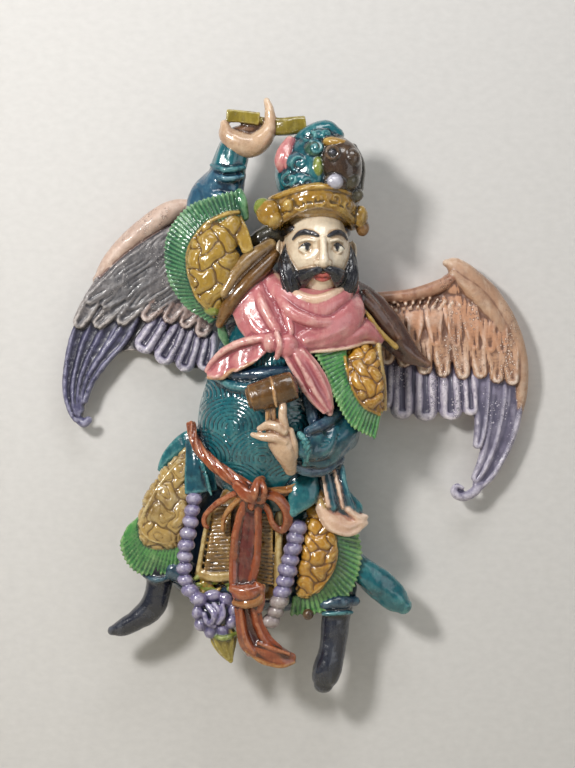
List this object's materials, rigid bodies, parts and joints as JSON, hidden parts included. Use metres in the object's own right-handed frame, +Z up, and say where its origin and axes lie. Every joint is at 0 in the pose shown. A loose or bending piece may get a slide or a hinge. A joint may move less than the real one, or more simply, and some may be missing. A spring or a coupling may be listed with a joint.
{
  "type": "winged ridge figure ornament",
  "caption": "Glazed pottery roof ridge ornament: a winged warrior with a raised bar and a lowered mallet, flat at the back to be fixed against a wall or ridge tile",
  "frame": {"origin": "Middle of the mounting face on the flat back, behind the belly", "axes": "+Z up, +Y out of the flat back towards the wall, -Y the front that the figure faces, +X to the viewer's right"},
  "size_m": [0.468, 0.137, 0.5937],
  "materials": {
    "figure_glaze": "glossy polychrome glaze over buff clay",
    "left_wing_glaze": "thin satin glaze, worn and speckled",
    "right_wing_glaze": "thin satin glaze, worn and speckled"
  },
  "bodies": {
    "root": {"figure": "figure_glaze", "left_wing": "left_wing_glaze", "right_wing": "right_wing_glaze"}
  },
  "joints": []
}
